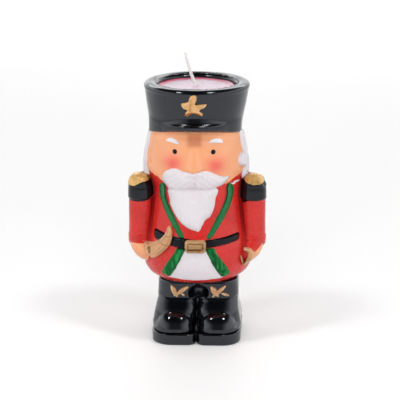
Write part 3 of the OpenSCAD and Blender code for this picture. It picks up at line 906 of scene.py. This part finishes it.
def painted_gold(name, main, deep, pale, gloss):
    """Matt gold paint over glaze: brushed streaks, metal flakes, and painted shade with pooled paint
    in the hollows.
    """
    shader = glaze(name, main, deep, pale, gloss, wave=0.0)
    streaks = shader.noise(420, 3, 0.6, (1.0, 1.0, 0.25))
    shader.lay(0.8, shader.ramp(streaks, (0.35, 0.72), (0.65, 1.0)), "MULTIPLY")
    shader.surface("Metallic", 0.25)
    shader.bump(shader.noise(1100, 4, 0.7), 0.55, 0.00022)
    return shader


def star_gold():
    """The star's gold, with painted shade in a brown over the arch between its feet."""
    shader = painted_gold("star_gold", (222, 168, 104), (164, 92, 22), (234, 192, 138), 0.36)
    # Painted shade: a brown laid over the arch between the star's feet.
    shader.lay(shader.mask("burnt"), linear(150, 78, 16))


def brushed_green():
    """The skirt trims: green dragged on with a stiff brush, dark between the strokes."""
    shader = glaze("green_brushed", (8, 110, 52), (0, 46, 10), (34, 128, 66), gloss=0.3,
                   level=0.12)
    strokes = shader.noise(520, 3, 0.7, (1.0, 1.0, 0.3))
    shader.lay(shader.ramp(strokes, (0.42, 0.0), (0.6, 0.75)), linear(2, 52, 14))
    bristles = shader.noise(760, 2, 0.6, (1.0, 1.0, 0.22))
    shader.lay(shader.ramp(bristles, (0.52, 0.0), (0.66, 0.7)), linear(46, 146, 78))
    shader.bump(strokes, 0.5, 0.0003)


def wax_pink():
    """Pale wax that lets light in. Its pink colour shows most where it meets the rim."""
    shader = glaze("wax_pink", (208, 188, 202), (202, 162, 182), (216, 200, 210), gloss=0.32,
                   cloud=120, wave=0.00008)
    shader.lay(shader.mask("rimward"), linear(226, 96, 124))
    shader.surface("Subsurface Weight", 0.25)
    shader.surface("Subsurface Radius", (0.004, 0.002, 0.002))
    shader.surface("Subsurface Scale", 0.5)


def wick_cotton():
    shader = glaze("wick_cotton", (226, 224, 220), (190, 186, 182), (240, 238, 236), gloss=0.6,
                   wave=0.0)
    shader.bump(shader.noise(2600), 0.6, 0.0002)


def tinplate():
    """Thin rolled steel, with fine scratches."""
    shader = new_material("tinplate")
    scratches = shader.noise(900, 4, 0.6, (1.0, 8.0, 1.0))
    dark, bright = linear(150, 152, 155), linear(196, 198, 200)
    shader.surface("Base Color", shader.ramp(scratches, (0.3, dark), (0.7, bright)))
    shader.surface("Metallic", 1.0)
    shader.surface("Roughness", shader.ramp(scratches, (0.3, 0.22), (0.7, 0.42)))


def adhesive():
    """A dab of hot glue: cloudy, soft, slightly yellow."""
    shader = new_material("adhesive")
    cloud = shader.noise(700)
    yellow, pale = linear(214, 204, 178), linear(238, 232, 214)
    shader.surface("Base Color", shader.ramp(cloud, (0.3, yellow), (0.7, pale)))
    shader.surface("Roughness", 0.35)
    shader.bump(cloud, 0.4, 0.0001)


def paint_kept_nodes():
    """The two CAD pieces that stay as they are get the looks of their slots."""
    for node in ("wick_sustainer", "sustainer_adhesive"):
        materials = bpy.data.objects[node].data.materials
        materials.clear()
        materials.append(MATERIALS[SLOT_OF[node]])


glaze_black("glaze_black", 0.095, 0.68)
glaze_black("board_black", 0.11, 0.4)
glaze_black("belt_black", 0.16, 0.22)
glaze_black("eye_black", 0.15, 0.2)
glaze_red()
glaze("glaze_white", (213, 207, 211), (200, 188, 193), (224, 220, 224), gloss=0.2, level=0.4)
glaze("glaze_green", (14, 104, 54), (0, 52, 16), (48, 128, 84), gloss=0.24, level=0.35)
brushed_green()
glaze_skin()
painted_gold("paint_gold", (172, 128, 84), (118, 76, 34), (198, 160, 114), 0.36)
painted_gold("horn_gold", (212, 158, 114), (140, 96, 56), (222, 184, 140), 0.42)
star_gold()
painted_gold("crown_gold", (224, 178, 108), (130, 84, 34), (236, 204, 150), 0.22)
wax_pink()
wick_cotton()
tinplate()
adhesive()
paint_kept_nodes()


# ---------------------------------------------------------------- paint zones

def crown_edge(x, s):
    """Height of the gold's lower edge on a shoulder, which is lobed by the brush."""
    across = np.abs(x) - ARM_X
    if s > 0:
        places = [-7, -5, -3, 0, 3.2, 5.2, 6.4, 7]
        return np.interp(across, places, [90, 88.2, 86.6, 85.9, 86.0, 86.5, 88, 89])
    places = [-6, -4.2, -2, 0.3, 2.2, 4.3, 6, 7]
    return np.interp(across, places, [88.6, 87.4, 86.9, 86.5, 85.2, 84.5, 84.3, 85])


def board_edge(x, s):
    """Height of the black shoulder board's lower edge, with the brush's slips."""
    across = np.abs(x) - ARM_X
    low = EPAULETTE_LO[2] + 0.15 - 0.9 * (s < 0)
    if s > 0:
        return low + np.interp(across, [-8, -6.6, -5.4, -4.2, -3.2, 7], [1.8, 1.2, -1.2, -1.3, 0.1, 0])
    return low + np.interp(across, [-8, -6.4, -4.6, -2, 2, 7], [5.2, 3.0, 1.0, 0.1, -0.1, 0.2])


def wobble(p):
    """The unsteady hand that painted the edges."""
    return 0.12 * ripples(p, 3.4, 11)


def in_front(y):
    """Below zero in the figure's front half."""
    return np.where(y < 0, -FAR, FAR)


def on_side(x, s):
    """Below zero on one side of the figure."""
    return np.where(x * s > 0, -FAR, FAR)


def trunk(f):
    """The head, hair and coat run together, which is what the arms and hat stand out of."""
    return smin(smin(f["head"], f["hair"], 0.5), f["torso"], 0.8)


def arms(f):
    """Below zero where an arm or a hand stands out of the head and the coat."""
    return either(f["arm", 1], f["hand", 1], f["arm", -1], f["hand", -1]) - trunk(f)


def hat_zone(p, f):
    """The hat, with one run of black glaze below it."""
    x, y, z = p.T
    run, _ = bar(x, z, (23.2, 118), (23.5, 114.4))
    run = np.where(y < 0, run - 0.55, FAR)
    return both(either(f["hat"] - trunk(f), run), 104 - z)


def peak_zone(p, f):
    return both(hat_zone(p, f), peak(*p.T) - hat(*p.T) + 0.15)


def outline_zone(line, p, f):
    """The zone inside an outline drawn in the front view."""
    x, y, z = p.T
    return both(line(x, z) + wobble(p), in_front(y))


def out_of_head(form, reach, p):
    """Where a form stands out of the head, and a little beyond it."""
    x, y, z = p.T
    return both(form - head_map(np.hypot(x - LEAN, y), z), form - reach)


def nose_zone(p, f):
    return both(out_of_head(nose(*p.T), 0.9, p), in_front(p[:, 1]))


def ear_zone(s, p, f):
    return both(out_of_head(ear(*p.T, s), 0.7, p), 88 - p[:, 2])


def hair_zone(p, f):
    others = either(f["head"], f["torso"], f["arm", 1], f["arm", -1])
    return both(f["hair"] - others + 0.5 * wobble(p), 86 - p[:, 2])


def head_zone(p, f):
    z = p[:, 2]
    neck = outline_zone(neck_line, p, f)
    return both(either(neck, COLLAR_Z + 0.2 - z), 80 - z, -arms(f))


def crown_zone(s, p, f):
    x, _, z = p.T
    edge = crown_edge(x, s) + 0.16 * ripples(p, 2.6, 21 + s)
    return both(arms(f) - 0.25, edge - z, on_side(x, s))


def board_zone(s, p, f):
    x, _, z = p.T
    edge = board_edge(x, s) + 0.08 * ripples(p, 4, 8)
    return both(arms(f) - 0.2, edge - z, on_side(x, s))


def hand_zone(s, p, f):
    """The left hand's edge slants up to the wrist's outer side."""
    x, _, z = p.T
    wrist = z - CUFF_LO[2]
    slant = (wrist - 0.6 + 34.0 - x) * 0.7 if s > 0 else -FAR
    return both(f["hand", s] - f["arm", s], arms(f), slant, wrist - 1.5, on_side(x, s))


def sleeve_zone(s, p, f):
    return both(arms(f), on_side(p[:, 0], s))


def cuff_zone(s, p, f):
    return both(sleeve_zone(s, p, f), p[:, 2] - CUFF_HI[2])


def belt_front_zone(p, f):
    return both(belt_line(*p.T) + 0.5 * wobble(p), in_front(p[:, 1]))


def belt_back_zone(p, f):
    return both(belt_line(*p.T), -in_front(p[:, 1]))


def coat_zone(p, f):
    return f["torso"] - either(f["boot", 1], f["boot", -1], f["sole", 1], f["sole", -1])


def sole_zone(s, p, f):
    return both(f["sole", s] - f["boot", s], -s * p[:, 0])


def toe_zone(s, p, f):
    x, y, z = p.T
    return both(toe_dome(x, y, z, s) - TOE_R - 0.25, -s * x, y + 8)


def boot_zone(s, p, f):
    return -s * p[:, 0]


def for_each_side(*zones):
    return [(f"{side}_{name}", partial(zone, s)) for s, side in SIDES for name, zone in zones]


def paint_zones():
    """The zones in the order they are cut. Each takes places and the distances to the big
    forms there, and is negative inside its zone."""
    outlines = {name: partial(outline_zone, line) for name, line in OUTLINES.items()}
    return [
        ("hat_peak", peak_zone), ("hat_shell", hat_zone),
        ("moustache", outlines["moustache"]), ("beard", outlines["beard"]),
        ("nose", nose_zone), ("hair", hair_zone),
        *for_each_side(("ear", ear_zone)),
        ("head", head_zone),
        *for_each_side(("epaulette_crown", crown_zone), ("epaulette", board_zone),
                       ("hand", hand_zone), ("cuff", cuff_zone), ("sleeve", sleeve_zone)),
        ("belt_front", belt_front_zone), ("belt_back", belt_back_zone),
        *((name, outlines[name]) for name in (
            "left_lapel_trim", "right_lapel_trim", "left_skirt_trim", "right_skirt_trim",
            "shirt_front")),
        ("coat", coat_zone),
        *for_each_side(("sole", sole_zone), ("toe_cap", toe_zone), ("boot", boot_zone)),
    ]


# ---------------------------------------------------------------- building the casting

def face_masks(points):
    """Where the cheeks are blushed, and where painted shade darkens the brow: in the hollow between
    the brows, beside it, and as a painted shadow under the hat's brim.
    """
    x, y, z = points.T
    front = (y < 0) * 1.0
    cheeks = ((-11.9, 99.9), (10.3, 98.7))
    blush = 0
    for cheek_x, cheek_z in cheeks:
        blush = np.maximum(blush, bell(np.hypot((x - cheek_x) * 0.95, z - cheek_z), 4.6))
    # Painted shade: a brown patch in the hollow between the brows.
    brow = 0.8 * bell(np.maximum(np.abs(x + 0.6) - 2.4, 0), 1.6) \
        * bell(np.maximum(np.abs(z - 112.0) - 1.4, 0), 1.9)
    # Painted shadow: a thin brown line under the hat's brim.
    brim_shadow = 0.25 * bell(z - 114.9, 0.7) * bell(np.maximum(np.abs(x + 1) - 12, 0), 4)
    # Painted shade: two soft brown spots at the inner ends of the brows.
    sides = 0.15 * bell(z - 112.6, 1.1) * bell(np.abs(x + 0.6) - 6.8, 2.2)
    return {"blush": blush * front, "brow": np.clip(brow + brim_shadow + sides, 0, 1) * front}


def coat_slip(points):
    """A slip of white glaze beside the left lapel."""
    x, y, z = points.T
    d, t = bar(x, z, (18.7, 87.2), (21.8, 88.0))
    return np.where(y < 0, np.clip((0.45 + 0.15 * t - d) / 0.15, 0, 1), 0)


def cut_zones(points, tris):
    """Cuts the casting's surface into its paint zones, one after the other."""
    forms = casting_parts(points)
    pieces = []
    for node, zone in paint_zones():
        used = np.unique(tris)
        values = np.full(len(points), FAR)
        values[used] = zone(points[used], {form: d[used] for form, d in forms.items()})
        before = len(points)
        points, inside, tris = split(points, tris, values)
        if len(points) > before:
            points[before:] = onto(casting, points[before:], 0.2, 1)
            more = casting_parts(points[before:])
            forms = {form: np.concatenate([d, more[form]]) for form, d in forms.items()}
        pieces.append((node, inside))
    return points, pieces


def build_casting():
    margin = 2.5
    lo = np.array([-38.5, -31.5, -margin])
    hi = np.array([38.5, 31.5, RIM_Z + margin])
    points, pieces = cut_zones(*polygonise(casting, lo, hi, BODY_CELL))
    normals = unit(gradient(casting, points, SLOPE_STEP))
    masks = glaze_masks(casting, points, normals)
    masks["slip"] = coat_slip(points)
    masks.update(face_masks(points))
    for node, tris in pieces:
        add_piece(shell_mesh(node + "_glaze", points, tris, normals, masks), node)


build_casting()


# ---------------------------------------------------------------- small raised ornaments

def raised(outline, height, round_over, dip=None):
    """A field for an ornament on the casting: an outline in front view, domed to a height."""
    def field(p):
        x, y, z = p.T
        d = outline(x, z)
        t = np.clip(-d / round_over, 0, 1)
        top = height * np.sqrt(np.clip(1 - (1 - t) ** 2, 0, 1))
        if dip is not None:
            top = top - dip(x, z)
        base = casting(p)
        shape = smax(d, (base - top) * 0.9, 0.25)
        return np.maximum(smax(shape, -base - 0.7, 0.2), y + 4)
    return field


def ornament(node, field, cell, margin=1.6):
    lo, hi = box(node)
    points, tris = polygonise(field, lo - margin, hi + margin, cell)
    mesh = closed_mesh(node + "_raised", field, points, tris)
    add_piece(mesh, node)
    return mesh, points


def leaf(a, b, width):
    """A pointed leaf between two places in the front view."""
    def line(x, z):
        d, t = bar(x, z, a, b)
        return d - width * (0.35 + 0.65 * np.sin(math.pi * np.clip(t * 0.9 + 0.08, 0, 1)))
    return line


def united(*lines):
    return lambda x, z: np.min([line(x, z) for line in lines], axis=0)


def stroke(points, radii):
    """A bent bar in the front view, with its half-width at each knot."""
    def line(x, z):
        out = np.full(len(x), FAR)
        for i in range(len(points) - 1):
            d, t = bar(x, z, points[i], points[i + 1])
            out = np.minimum(out, d - radii[i] * (1 - t) - radii[i + 1] * t)
        return out
    return line


def star():
    lo, hi = box("hat_star")

    def ridge(x, z):
        line, _ = bar(x, z, (lo[0] + 4.6, lo[2] + 3.2), (lo[0] + 5.2, hi[2] - 1.6))
        arch = np.abs(np.hypot((x - lo[0] - 6.2) / 1.25, z - lo[2] + 0.6) - 3.0)
        return 0.22 * bell(line, 0.32) + 0.2 * bell(arch, 0.4) + 0.05 * np.sin(x * 4 + z * 2)

    outline = fitted("hat_star", star_knots, steps=5)
    mesh, points = ornament("hat_star", raised(outline, 1.35, 1.1, ridge), 0.26)
    x, z = points[:, 0] - lo[0] - 6.0, points[:, 2] - lo[2]
    arch = np.abs(np.hypot(x / 1.5, z + 1.2) - 3.1)
    # Painted shade on the arch between the star's feet.
    add_masks(mesh, {"burnt": np.clip(1.5 * bell(arch, 0.55), 0, 1)})


def eye(node):
    centre = mid(node)

    def spot(x, z):
        return np.hypot(x - centre[0], (z - centre[2]) * 0.97) - 1.24
    ornament(node, raised(spot, 0.45, 1.2), 0.2, 1.0)


def brow(node, knots):
    def ridge(x, z):
        return 0.06 * np.sin((x + z * 0.4) * 5)
    ornament(node, raised(fitted(node, knots), 0.42, 0.8, ridge), 0.25, 1.0)


def buckle():
    lo, hi = box("belt_buckle")
    centre, half = (lo + hi) / 2, (hi - lo) / 2
    corner = 1.7

    def plate(x, z):
        qx = np.abs(x - centre[0]) - half[0] + corner
        qz = np.abs(z - centre[2]) - half[2] + 0.2 + corner
        return rounded(qx, qz, corner)

    def engraved(x, z):
        d = plate(x, z)
        ring = bell(d + 1.75, 0.33) + 0.6 * bell(d + 0.75, 0.25)
        return 0.42 * ring + 0.05 * np.sin(x * 5.5 + np.sin(z * 3))
    ornament("belt_buckle", raised(plate, 1.35, 0.9, engraved), 0.26)


def horn():
    def bands(x, z):
        ring = -0.45 * bell(x + 26.3, 0.8) + 0.55 * bell(x + 24.6, 0.55)
        return ring + 0.06 * np.sin(x * 2.6 - z * 2.2)
    ornament("horn", raised(fitted("horn", horn_knots, steps=5), 2.7, 2.6, bands), 0.32)


def hilt():
    arc = [(25.5, 51.6), (28.1, 51.0), (29.2, 49.2), (28.7, 46.8), (26.8, 44.3), (25.4, 43.1)]
    strap = [(23.5, 48.1), (24.0, 46.2), (24.9, 43.4)]
    line = united(stroke(arc, [0.9, 1.4, 1.9, 1.8, 1.3, 0.75]), stroke(strap, [0.4, 0.5, 0.6]))
    ornament("hilt_guard", raised(line, 1.7, 1.2), 0.26)


def boot_bow(node, *leaves):
    def creases(x, z):
        return 0.10 * np.sin((x + z) * 4.2) + 0.06 * np.sin((x - z) * 5)
    bow = united(*(leaf(*ends_and_width) for ends_and_width in leaves))
    ornament(node, raised(bow, 1.15, 0.9, creases), 0.22, 2.6)


star()
eye("left_eye")
eye("right_eye")
brow("left_eyebrow", left_brow_knots)
brow("right_eyebrow", right_brow_knots)
buckle()
horn()
hilt()
boot_bow("left_boot_bow", ((8.2, 30.6), (11.4, 26.2), 1.75), ((15.2, 31.2), (8.8, 25.7), 1.15),
         ((13.0, 27.8), (17.2, 26.0), 0.8))
boot_bow("right_boot_bow", ((-13.0, 31.0), (-10.2, 25.7), 1.5), ((-4.6, 30.8), (-11.6, 26.0), 1.2),
         ((-8.2, 27.8), (-6.3, 25.9), 0.7))


# ---------------------------------------------------------------- wax and wick

def rings(name, node, circles):
    """A closed solid from a stack of rings of points, with both ends capped."""
    around = len(circles[0])
    points = np.concatenate(circles)
    faces = []
    for low in range(0, len(points) - around, around):
        for j in range(around):
            k = (j + 1) % around
            faces.append((low + j, low + k, low + around + k, low + around + j))
    faces.append(tuple(range(around))[::-1])
    faces.append(tuple(range(len(points) - around, len(points))))
    mesh = smooth_mesh(name, points, faces)
    x, y, _ = points.T
    radius = np.hypot(x - LEAN, y)
    from_left = 0.5 - 0.25 * (x - LEAN) / MOUTH_R + 0.45 * y / MOUTH_R
    rimward = step_up((radius / MOUTH_R - 0.70) / 0.26) * np.clip(from_left + 0.1, 0.12, 1)
    add_masks(mesh, {"pool": radius * 0, "thin": radius * 0, "rimward": rimward})
    add_piece(mesh, node)


def wax():
    """Poured wax: it creeps up the rim, and is drawn up round the wick."""
    lo, hi = box("wax_fill")
    centre = (lo[0] + hi[0]) / 2
    wick_x = box("wick")[1][0] - 1.95
    around = 96
    angle = np.arange(around) / around * 2 * math.pi
    full = MOUTH_R - 0.85

    def circle(r, z):
        return np.stack([centre + r * np.cos(angle), r * np.sin(angle), np.full(around, z)], 1)

    circles = [circle(full * 0.5, lo[2]), circle(full, lo[2]), circle(full, lo[2] + 40),
               circle(full, hi[2] - 3)]
    for share in np.linspace(1, 0.012, 44):
        r = full * share
        flat = circle(r, 0.0)
        near_wick = np.hypot(flat[:, 0] - wick_x, flat[:, 1])
        z = WAX_Z + 0.35 * math.exp(-(full - r) / 0.9) + 1.25 * bell(near_wick, 1.7) \
            - 0.25 * bell(near_wick, 7) + 0.07 * ripples(flat, 11, 31) + 0.03 * ripples(flat, 4, 32)
        circles.append(np.column_stack([flat[:, :2], z]))
    rings("wax_fill_poured", "wax_fill", circles)


def wick():
    """A plaited cotton cord that stands up in the wax and leans over above it."""
    lo, hi = box("wick")
    foot = hi[0] - 0.95
    path = spline([(foot, lo[2]), (foot, 90), (foot - 0.3, WAX_Z - 6), (foot - 1.0, WAX_Z),
                   (foot - 2.9, WAX_Z + 4.6), (foot - 5.0, WAX_Z + 11),
                   (lo[0] + 0.5, hi[2] - 0.5)], 40)
    around = 20
    angle = np.arange(around) / around * 2 * math.pi
    step = unit(np.gradient(path, axis=0))
    run = np.concatenate([[0], np.cumsum(np.linalg.norm(np.diff(path, axis=0), axis=1))])
    circles = []
    for (x, z), (tx, tz), along in zip(path, step, run):
        twist = along * 1.35
        plait = np.abs(np.sin(angle * 1.5 + twist)) * np.abs(np.sin(angle * 1.5 - twist))
        above = (z - WAX_Z) / (hi[2] - WAX_Z)
        r = (0.78 + 0.2 * plait) * (1.1 - 0.35 * np.clip(above, 0, 1))
        side, fore = r * np.cos(angle), r * np.sin(angle)
        circles.append(np.stack([x + side * tz, fore, z - side * tx], 1))
    rings("wick_braided", "wick", circles)


wax()
wick()


# ---------------------------------------------------------------- floor, light and camera

def look_at(obj, target):
    way = Vector(target) - obj.location
    obj.rotation_euler = way.to_track_quat("-Z", "Y").to_euler()


def floor():
    shader = new_material("floor_paper")
    shader.surface("Base Color", shader.ramp(shader.noise(6, 2), (0.3, 0.965), (0.7, 0.98)))
    shader.surface("Roughness", 0.6)
    half = 6
    corners = [(-half, -half, 0), (half, -half, 0), (half, half, 0), (-half, half, 0)]
    mesh = bpy.data.meshes.new("floor")
    mesh.from_pydata(corners, [], [(0, 1, 2, 3)])
    mesh.materials.append(MATERIALS["floor_paper"])
    add_to_scene("floor", mesh)


def softbox(name, place, size, power, target=(0, 0, 0.08)):
    light = bpy.data.lights.new(name, "AREA")
    light.shape = "RECTANGLE"
    light.size, light.size_y = size
    light.energy = power
    obj = add_to_scene(name, light)
    obj.location = place
    look_at(obj, target)
    return obj


def tent():
    """The studio: white to the sides and low down, dark overhead and behind the camera."""
    world = bpy.data.worlds.new("tent")
    shader = Shader(world)
    way = shader.add("SeparateXYZ", Vector=shader.add("TexCoord").outputs["Generated"])
    sides = shader.add("Math")
    sides.operation = "ABSOLUTE"
    shader.put(sides.inputs[0], way.outputs["X"])
    wings = shader.ramp(sides.outputs[0], (0.22, 0.08), (0.88, 1.0))
    ahead = shader.ramp(way.outputs["Y"], (0.0, 0.0), (0.45, 1.0))
    height = shader.ramp(way.outputs["Z"], (0.45, 1.0), (0.70, 0.04))
    around = shader.mix(ahead, wings, (1.0, 1.0, 1.0))
    background = shader.nodes["Background"]
    shader.put(background.inputs["Color"], shader.mix(1.0, around, height, "MULTIPLY"))
    background.inputs["Strength"].default_value = 1.5
    bpy.context.scene.world = world


def camera():
    """The photo's view, from above and from a little to the figure's own left."""
    azimuth, elevation, distance = math.radians(2.5), math.radians(15), 1.15
    frame_width = 0.2134
    centre = np.array([0, 0, 0.07])
    back = np.array([math.sin(azimuth) * math.cos(elevation),
                     -math.cos(azimuth) * math.cos(elevation), math.sin(elevation)])
    data = bpy.data.cameras.new("camera")
    data.sensor_width = 36
    data.lens = data.sensor_width * distance / frame_width
    data.shift_x = 0.00575
    data.shift_y = 0.0175
    obj = add_to_scene("camera", data)
    obj.location = back * distance + centre
    look_at(obj, centre)
    bpy.context.scene.camera = obj


floor()
softbox("softbox_left", (-0.40, -0.32, 1.0), (0.16, 0.16), 2.4)
softbox("softbox_right", (0.40, -0.32, 1.0), (0.16, 0.16), 2.4)
fill = softbox("fill_in_front", (0, -1.25, 0.85), (0.9, 0.4), 9.5)
fill.visible_glossy = False
softbox("backdrop_light", (0, 1.1, 0.75), (1.2, 0.5), 4.5, (0, 1.15, 0))
tent()
bpy.context.scene.view_settings.view_transform = "Standard"
camera()
